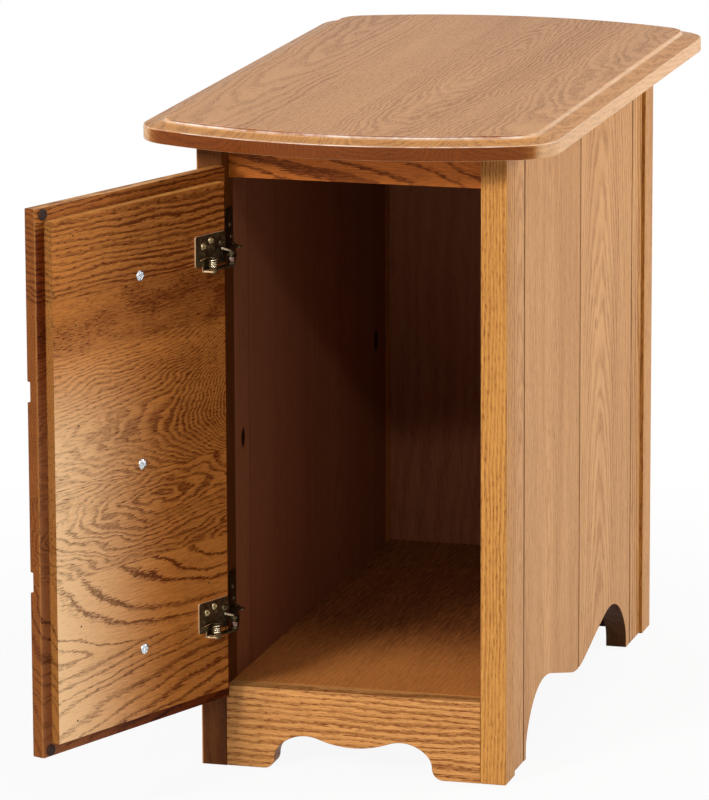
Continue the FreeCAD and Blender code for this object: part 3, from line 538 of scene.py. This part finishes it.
antique_brass = metal("antique_brass", tone(78, 66, 46), tone(140, 122, 88), rough=0.34, wear=0.3)
plate_brass = metal("plate_brass", tone(78, 66, 46), tone(220, 192, 150), rough=0.34, wear=0.10,
                    broad=(shutting, 1))
bright_brass = metal("bright_brass", tone(206, 190, 156), tone(240, 232, 208), rough=0.2, wear=0.7)
aged_brass = metal("aged_brass", tone(138, 118, 82), tone(214, 198, 158), rough=0.26, wear=0.6, patch=900.0)
rosy_steel = metal("rosy_steel", tone(112, 84, 74), tone(190, 166, 156), rough=0.25, wear=0.5)
hook_brass = metal("hook_brass", tone(240, 226, 190), tone(252, 244, 224), rough=0.42, wear=0.6)
shadow_dark_steel = metal("shadow_dark_steel", tone(38, 32, 26), tone(66, 56, 44), rough=0.45, wear=0.3)
zinc = metal("zinc", tone(196, 200, 204), tone(236, 238, 240), rough=0.22, wear=0.7)
nail_iron = metal("nail_iron", tone(60, 44, 34), tone(96, 74, 56), rough=0.5, wear=0.4)
bumper_rubber = rubber("bumper_rubber", tone(36, 22, 16), tone(64, 44, 34))


# ------------------------------------------------------------------ pieces


def put(name, mesh, material, body, slot, *stands_for):
    """A new piece in the row frame, with its finish, on its body."""
    piece = bpy.data.objects.new(name, mesh)
    bpy.context.scene.collection.objects.link(piece)
    mesh.materials.clear()
    mesh.materials.append(material)
    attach(piece, body)
    if stands_for:
        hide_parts(*stands_for)
    return piece


def sanded(label, radius, material, slot):
    """The same part with its sharp edges rounded, standing in for the CAD one."""
    source = nodes[label]
    mesh = source.data.copy()
    shape = bmesh.new()
    shape.from_mesh(mesh)
    bmesh.ops.remove_doubles(shape, verts=shape.verts, dist=1e-6)
    bmesh.ops.dissolve_limit(shape, angle_limit=math.radians(0.5), verts=shape.verts, edges=shape.edges)
    shape.to_mesh(mesh)
    shape.free()
    for leftover in ("custom_normal", "sharp_face", "sharp_edge"):
        if leftover in mesh.attributes:
            mesh.attributes.remove(mesh.attributes[leftover])
    mesh.shade_smooth()
    piece = put(label + "_sanded", mesh, material, source["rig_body"], slot, label)
    bevel = piece.modifiers.new("rounding", "BEVEL")
    bevel.width, bevel.segments = radius, 2
    bevel.limit_method, bevel.angle_limit = "ANGLE", math.radians(30)
    bevel.miter_outer, bevel.harden_normals = "MITER_ARC", True


def wire(name, points, thick, material, body, slot, *stands_for):
    """A round wire along points, as a mesh."""
    line = bpy.data.curves.new(name, "CURVE")
    line.dimensions, line.bevel_depth, line.bevel_resolution, line.use_fill_caps = "3D", thick, 4, True
    run = line.splines.new("POLY")
    run.points.add(len(points) - 1)
    for spot, at in zip(run.points, points):
        spot.co = (*at, 1)
    holder = bpy.data.objects.new(name, line)
    bpy.context.scene.collection.objects.link(holder)
    bpy.context.view_layer.update()
    mesh = bpy.data.meshes.new_from_object(holder.evaluated_get(bpy.context.evaluated_depsgraph_get()))
    bpy.data.objects.remove(holder)
    mesh.shade_smooth()
    put(name, mesh, material, body, slot, *stands_for)


def sand(finishes):
    """Every part whose name begins as one of the finishes says, except the screws."""
    for label in sorted(nodes):
        for begins, rounding, material, slot in finishes:
            if label.startswith(begins) and "screws" not in label:
                sanded(label, rounding * MM, material, slot)
                break


# How the name begins, how far its edges are rounded in millimetres, its finish and its slot. The first that
# fits counts.
sand((
    ("side_board_left", 0.5, left_oak, "oak_side"),
    ("side_board_right", 0.5, right_oak, "oak_side"),
    ("table_top", 0.4, top_oak, "oak_top"),
    ("door_panel", 0.6, door_oak, "oak_door"),
    ("front_apron", 0.8, apron_oak, "oak_frame"),
    ("front_top_rail", 0.6, rail_oak, "oak_frame"),
    ("front_post_left", 0.8, door_shadow_oak, "oak_frame"),
    (("front_post", "rear_post"), 0.8, frame_oak, "oak_frame"),
    ("back_panel", 0.5, back_oak, "oak_inside"),
    ("cabinet_floor", 0.5, floor_oak, "oak_inside"),
    (("floor_block", "top_cleat"), 0.5, inside_oak, "oak_inside"),
    ("knob", 0.4, knob_oak, "oak_knob"),
))
sand((
    ("hinge_door_plate", 0.2, plate_brass, "hinge_plate"),
    (("hinge_bracket", "hinge_arm", "hinge_link", "hinge_anchor_pin", "hinge_spring_post"), 0.2,
     antique_brass, "hinge_plate"),
    ("door_bumpers", 0.5, bumper_rubber, "bumper_rubber"),
))


def round_about(radius, angle, height):
    """The point so far from an upright axis, at an angle round it."""
    return Vector((radius * math.cos(angle), radius * math.sin(angle), height))


def lathed(name, centre, profile, material, body, slot, *stands_for):
    """A part turned about an upright axis through centre, from (radius, height) pairs."""
    shape = bmesh.new()
    around = 40
    loops = [[shape.verts.new(centre + round_about(radius, 2 * math.pi * i / around, height))
              for i in range(around)] for radius, height in profile]
    for lower_loop, upper_loop in zip(loops, loops[1:]):
        for i in range(around):
            j = (i + 1) % around
            shape.faces.new((lower_loop[i], lower_loop[j], upper_loop[j], upper_loop[i]))
    shape.faces.new(reversed(loops[0]))
    shape.faces.new(loops[-1])
    mesh = bpy.data.meshes.new(name)
    shape.to_mesh(mesh)
    shape.free()
    mesh.shade_smooth()
    mesh.set_sharp_from_angle(angle=math.radians(40))
    put(name, mesh, material, body, slot, *stands_for)


# The coil of a door spring, whose top turn is drawn out.
COIL_RADIUS, COIL_WIRE, COIL_TURNS, STEPS_PER_TURN = 3.6 * MM, 0.52 * MM, 4.5, 28
PITCH, LAST_PITCH = 1.6 * MM, 3.2 * MM
COIL_FOOT = 5.0 * MM    # above the foot of its post


def climb(turned):
    """How high the wire stands after so many turns."""
    return PITCH * turned + (LAST_PITCH - PITCH) * max(0.0, turned - (COIL_TURNS - 1))


def up(height):
    """A step straight up."""
    return Vector((0, 0, height))


# Springs: the coil with its two legs, and the hooked end that stands on the link.
turn_open = Matrix.Rotation(-shutting, 3, "Z")
for tag in ("lower", "upper"):
    low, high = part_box("hinge_spring_post_" + tag)
    post = (low + high) / 2
    base = low.z + COIL_FOOT
    start = Vector((post.x, post.y, base - 0.6 * MM))
    steps = int(COIL_TURNS * STEPS_PER_TURN)
    coil = [round_about(COIL_RADIUS, math.radians(90) + 2 * math.pi * turned, climb(turned))
            for turned in (COIL_TURNS * i / steps for i in range(steps + 1))]
    first_leg = Vector((12 * MM, COIL_RADIUS, 0))
    last_leg = Vector((13 * MM, -COIL_RADIUS, climb(COIL_TURNS) - 1.3 * MM))
    wire("spring_coil_" + tag, [start + turn_open @ spot for spot in (first_leg, *coil, last_leg)],
         COIL_WIRE, bright_brass, "door", "spring_wire", "hinge_spring_" + tag)

    # The pin at the elbow carries a short drum, and the hook comes down to its head.
    label = "hinge_elbow_rivet_" + tag
    body = nodes[label]["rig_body"]
    low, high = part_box(label)
    elbow = Vector(((low.x + high.x) / 2, (low.y + high.y) / 2, 0))
    foot, tall = elbow + up(low.z), high.z - low.z
    lathed("elbow_pin_" + tag, foot,
           [(1.5 * MM, 0), (1.5 * MM, tall - 1.0 * MM), (2.6 * MM, tall - 1.0 * MM),
            (2.5 * MM, tall - 0.4 * MM), (1.6 * MM, tall)],
           antique_brass, body, "hinge_plate", label)
    lathed("elbow_drum_" + tag, foot + up(tall / 2 - 0.2 * MM),
           [(2.7 * MM, -2.3 * MM), (3.2 * MM, -1.9 * MM), (3.4 * MM, -0.8 * MM), (3.4 * MM, 0.8 * MM),
            (3.2 * MM, 1.9 * MM), (2.7 * MM, 2.3 * MM)],
           rosy_steel, body, "hinge_plate", label)
    back = (Vector((post.x, post.y, 0)) - elbow).normalized()
    foot = elbow + back * 11 * MM + up(base - 1.2 * MM)
    knee = foot + up(15.2 * MM)
    end = elbow + back * 1.6 * MM + up(high.z + 0.3 * MM)
    start = knee - (end - knee).normalized() * 0.4 * MM
    tip = end - up(0.6 * MM) - back * 0.6 * MM
    # The hook's stem is near-black, a painted shade that keeps it out of sight under the bright wire.
    for name, spots, thick, material in (("hook_stem_", [foot, knee - up(0.3 * MM)], 0.5 * MM, shadow_dark_steel),
                                         ("hook_wire_", [start, knee, end, tip], 0.95 * MM, hook_brass)):
        wire(name + tag, spots, thick, material, "hinge_link_" + tag, "spring_wire",
             "hinge_spring_hook_" + tag)


# ------------------------------------------------------------------ screws and nails


# A crossed recess: the width and length of its arms against the head's radius, and its depth against the
# head's rise. The dome falls by this share of a ball's whole fall.
ARM_WIDTH, ARM_LENGTH, CROSS_DEPTH, DOME_FALL = 0.17, 0.62, 0.75, 0.92
SKIRT = 0.2 * MM    # how far the rim of a head goes into the metal under it


def crossed_head(name, radius, rise, cross=True):
    """A domed head on the XY plane, with a crossed recess or plain, as a template to be placed."""
    shape = bmesh.new()
    around, rings = 40, 12
    loops = []
    for j in range(1, rings + 1):
        share = j / rings
        loop = []
        for i in range(around):
            angle = 2 * math.pi * i / around
            x, y = radius * share * math.cos(angle), radius * share * math.sin(angle)
            z = rise * math.sqrt(1 - DOME_FALL * share ** 2)
            arm = min(abs(x), abs(y)) / (ARM_WIDTH * radius)
            tip = max(abs(x), abs(y)) / (ARM_LENGTH * radius)
            if cross and arm < 1 and tip < 1:
                z -= rise * CROSS_DEPTH * (1 - arm ** 4) * (1 - tip ** 4)
            loop.append(shape.verts.new((x, y, z)))
        loops.append(loop)
    crown = shape.verts.new((0, 0, rise * (1 - CROSS_DEPTH if cross else 1)))
    for i in range(around):
        shape.faces.new((crown, loops[0][i], loops[0][(i + 1) % around]))
        for inner, outer in zip(loops, loops[1:]):
            shape.faces.new((inner[i], outer[i], outer[(i + 1) % around], inner[(i + 1) % around]))
    skirt = [shape.verts.new((v.co.x, v.co.y, -SKIRT)) for v in loops[-1]]
    for i in range(around):
        shape.faces.new((loops[-1][i], skirt[i], skirt[(i + 1) % around], loops[-1][(i + 1) % around]))
    mesh = bpy.data.meshes.new(name)
    shape.to_mesh(mesh)
    shape.free()
    mesh.shade_smooth()
    template = bpy.data.objects.new(name, mesh)
    bpy.context.scene.collection.objects.link(template)
    return template


def placing_tree():
    """Geometry nodes that set a template on every point, facing the point's aim, each turned by chance."""
    tree = bpy.data.node_groups.new("set_on_points", "GeometryNodeTree")
    face = tree.interface
    face.new_socket("Points", in_out="INPUT", socket_type="NodeSocketGeometry")
    face.new_socket("Template", in_out="INPUT", socket_type="NodeSocketObject")
    face.new_socket("Turn seed", in_out="INPUT", socket_type="NodeSocketInt")
    face.new_socket("Finish", in_out="INPUT", socket_type="NodeSocketMaterial")
    face.new_socket("Pieces", in_out="OUTPUT", socket_type="NodeSocketGeometry")
    add = tree.nodes.new
    given, result = add("NodeGroupInput"), add("NodeGroupOutput")
    template, place = add("GeometryNodeObjectInfo"), add("GeometryNodeInstanceOnPoints")
    aim = add("GeometryNodeInputNamedAttribute")
    aim.data_type = "FLOAT_VECTOR"
    aim.inputs["Name"].default_value = "aim"
    align = add("FunctionNodeAlignRotationToVector")
    align.axis = "Z"
    chance = add("FunctionNodeRandomValue")
    chance.data_type = "FLOAT"
    chance.inputs[3].default_value = math.pi
    spin, both = add("FunctionNodeAxisAngleToRotation"), add("FunctionNodeRotateRotation")
    both.rotation_space = "LOCAL"
    real, finish = add("GeometryNodeRealizeInstances"), add("GeometryNodeSetMaterial")
    link = tree.links.new
    link(given.outputs["Points"], place.inputs["Points"])
    link(given.outputs["Template"], template.inputs["Object"])
    link(template.outputs["Geometry"], place.inputs["Instance"])
    link(aim.outputs["Attribute"], align.inputs["Vector"])
    link(given.outputs["Turn seed"], chance.inputs["Seed"])
    link(chance.outputs[1], spin.inputs["Angle"])
    link(align.outputs["Rotation"], both.inputs["Rotation"])
    link(spin.outputs["Rotation"], both.inputs["Rotate By"])
    link(both.outputs["Rotation"], place.inputs["Rotation"])
    link(place.outputs["Instances"], real.inputs["Geometry"])
    link(real.outputs["Geometry"], finish.inputs["Geometry"])
    link(given.outputs["Finish"], finish.inputs["Material"])
    link(finish.outputs["Geometry"], result.inputs["Pieces"])
    return tree


setting = placing_tree()


def set_out(name, spots, template, seed, material, body, slot, *stands_for):
    """The template at each (point, way it faces), as one plain mesh on one body."""
    points = bpy.data.meshes.new(name + "_points")
    points.from_pydata([tuple(at) for at, _ in spots], [], [])
    aims = points.attributes.new("aim", "FLOAT_VECTOR", "POINT")
    aims.data.foreach_set("vector", [v for _, way in spots for v in way])
    holder = bpy.data.objects.new(name + "_points", points)
    bpy.context.scene.collection.objects.link(holder)
    layer = holder.modifiers.new("setting", "NODES")
    layer.node_group = setting
    sockets = {item.name: item.identifier for item in setting.interface.items_tree
               if item.in_out == "INPUT"}
    layer[sockets["Template"]] = template
    layer[sockets["Turn seed"]] = seed
    layer[sockets["Finish"]] = material
    bpy.context.view_layer.update()
    mesh = bpy.data.meshes.new_from_object(holder.evaluated_get(bpy.context.evaluated_depsgraph_get()))
    bpy.data.objects.remove(holder)
    put(name, mesh, material, body, slot, *stands_for)


def screw_spots(label, way, rise):
    """Where each screw's head of that rise goes, and the way it faces: its top meets the drawn one's."""
    shape = bmesh.new()
    shape.from_mesh(nodes[label].data)
    bmesh.ops.remove_doubles(shape, verts=shape.verts, dist=1e-6)
    left, spots = set(shape.verts), []
    while left:
        island, queue = set(), [left.pop()]
        while queue:
            v = queue.pop()
            island.add(v)
            for edge in v.link_edges:
                other = edge.other_vert(v)
                if other in left:
                    left.remove(other)
                    queue.append(other)
        top = max(v.co.dot(way) for v in island)
        face = [v.co for v in island if v.co.dot(way) > top - 1e-5]
        middle = Vector([(min(c[k] for c in face) + max(c[k] for c in face)) / 2 for k in range(3)])
        spots.append((middle - way * rise, way))
    shape.free()
    return sorted(spots, key=lambda spot: tuple(spot[0]))


inward = turn_open @ Vector((0, 1, 0))
large_head = crossed_head("large_head", 4.7 * MM, 2.2 * MM)
hinge_head = crossed_head("hinge_head", 3.3 * MM, 1.6 * MM)
small_head = crossed_head("small_head", 2.7 * MM, 1.15 * MM)
cleat_head = crossed_head("cleat_head", 3.9 * MM, 2.1 * MM)
nail_head = crossed_head("nail_head", 0.95 * MM, 0.12 * MM, cross=False)
set_out("knob_screw_heads", screw_spots("knob_screws", inward, 2.2 * MM), large_head, 3, zinc, "door",
        "zinc_screw", "knob_screws")
for tag, seed in (("lower", 4), ("upper", 9)):
    label = "hinge_door_screws_" + tag
    spots = screw_spots(label, inward, 1.65 * MM)
    set_out(label + "_heads", spots[:2], hinge_head, seed, aged_brass, "door", "brass_screw", label)
    # The screw nearest the hinge takes dull antique brass, a painted shade under the hook.
    set_out(label + "_dull_head", spots[2:], hinge_head, seed, antique_brass, "door", "brass_screw", label)
    label = "hinge_bracket_screws_" + tag
    set_out(label + "_heads", screw_spots(label, Vector((1, 0, 0)), 1.18 * MM), small_head, seed,
            antique_brass, "cabinet", "brass_screw", label)
set_out("top_cleat_screw_heads", screw_spots("top_cleat_screws", Vector((0, 0, -1)), 2.15 * MM),
        cleat_head, 6, zinc, "cabinet", "zinc_screw", "top_cleat_screws")

# Small nails in the door's inner face hold the shaped front to the panel: across the shut door and up, in
# millimetres.
nails = ((83.8, 495.3), (109.0, 450.9), (82.0, 420.9), (79.9, 337.2), (80.5, 168.5), (86.7, 90.0),
         (-86.8, 256.5), (-85.5, 171.7), (-85.2, 86.2))
nail_depth = door_inside - 0.05 * MM
opened = Matrix.Translation(hinge_point) @ turn_open.to_4x4() @ Matrix.Translation(-hinge_point)
set_out("door_nails", [(opened @ Vector((x * MM, nail_depth, z * MM)), inward) for x, z in nails],
        nail_head, 5, nail_iron, "door", "oak_door")
for template in (large_head, hinge_head, small_head, cleat_head, nail_head):
    bpy.data.objects.remove(template)


# ------------------------------------------------------------------ studio

ROOM_LIGHT = 0.24    # how much light comes from all round


def seen(g):
    """1 for a ray that shows a thing itself, through glass or in a mirror, and 0 for one that lights it."""
    paths = g.node("LightPath").outputs
    return g.math("MAXIMUM", g.math("MAXIMUM", paths["Is Camera Ray"], paths["Is Glossy Ray"]),
                  paths["Is Transmission Ray"])


sweep = Finish("white_sweep")
away = sweep.length(sweep.node("TexCoord").outputs["Object"])
# Seen directly the sweep is white; near the table it keeps a little of its shadow.
whiteness = sweep.math("MULTIPLY", seen(sweep), sweep.span(away, 0.35, 1.3, 0.92, 1.0, smooth=True))
glow = sweep.node("Emission", WHITE, 1.0)
sweep.lay({"Base Color": (0.6, 0.6, 0.6, 1), "Roughness": 0.9})
mixed = sweep.node("MixShader", whiteness, sweep.surface.outputs[0], glow.outputs[0])
sweep.feed(sweep.output.inputs["Surface"], mixed.outputs[0])

floor_mesh = bpy.data.meshes.new("studio_floor")
corners = [(x, y, -0.5 * MM) for x, y in ((-7, -7), (7, -7), (7, 9), (-7, 9))]
floor_mesh.from_pydata(corners, [], [(0, 1, 2, 3)])
floor_mesh.materials.append(sweep.material)
studio_floor = bpy.data.objects.new("studio_floor", floor_mesh)
bpy.context.scene.collection.objects.link(studio_floor)

world = bpy.data.worlds.new("studio")
bpy.context.scene.world = world
world.use_nodes = True
air = Graph(world.node_tree)
room, backdrop = air.node("Background", WHITE, ROOM_LIGHT), air.node("Background", WHITE, 1.0)
air.node("OutputWorld", air.node("MixShader", seen(air), room.outputs[0], backdrop.outputs[0]).outputs[0])


def lamp(name, where, at, size, power):
    """A rectangular lamp that shines from where, towards at."""
    data = bpy.data.lights.new(name, "AREA")
    data.shape, (data.size, data.size_y), data.energy = "RECTANGLE", size, power
    made = bpy.data.objects.new(name, data)
    made.location = where
    made.rotation_euler = (Vector(at) - Vector(where)).to_track_quat("-Z", "Y").to_euler()
    bpy.context.scene.collection.objects.link(made)


lamp("key_lamp", (-1.35, -3.1, 1.9), (0, 0.1, 0.3), (0.75, 0.75), 114)
lamp("strip_lamp", (0.5, -2.9, 2.3), (0, 0.0, 0.5), (2.8, 0.12), 38)
lamp("side_lamp", (1.9, 0.9, 1.0), (0, 0.1, 0.3), (0.8, 0.8), 31)
lamp("top_lamp", (0.2, 0.3, 2.4), (0, 0.3, 0.5), (1.2, 1.2), 4)


# ------------------------------------------------------------------ camera

eye, aim = Vector((1.29267, -4.61426, 1.39629)), Vector((0.00275, 0.0, 0.32622))
roll = math.radians(-0.23)
camera_data = bpy.data.cameras.new("camera")
# Lens and sensor are in millimetres.
camera_data.lens, camera_data.sensor_width, camera_data.sensor_fit = 263.77, 36, "AUTO"
camera_data.clip_start, camera_data.clip_end = 0.1, 50
camera = bpy.data.objects.new("camera", camera_data)
camera.location = eye
camera.rotation_euler = ((aim - eye).to_track_quat("-Z", "Y").to_matrix().to_4x4()
                         @ Matrix.Rotation(roll, 4, "Z")).to_euler()
bpy.context.scene.collection.objects.link(camera)
bpy.context.scene.camera = camera
bpy.context.scene.view_settings.view_transform = "Standard"
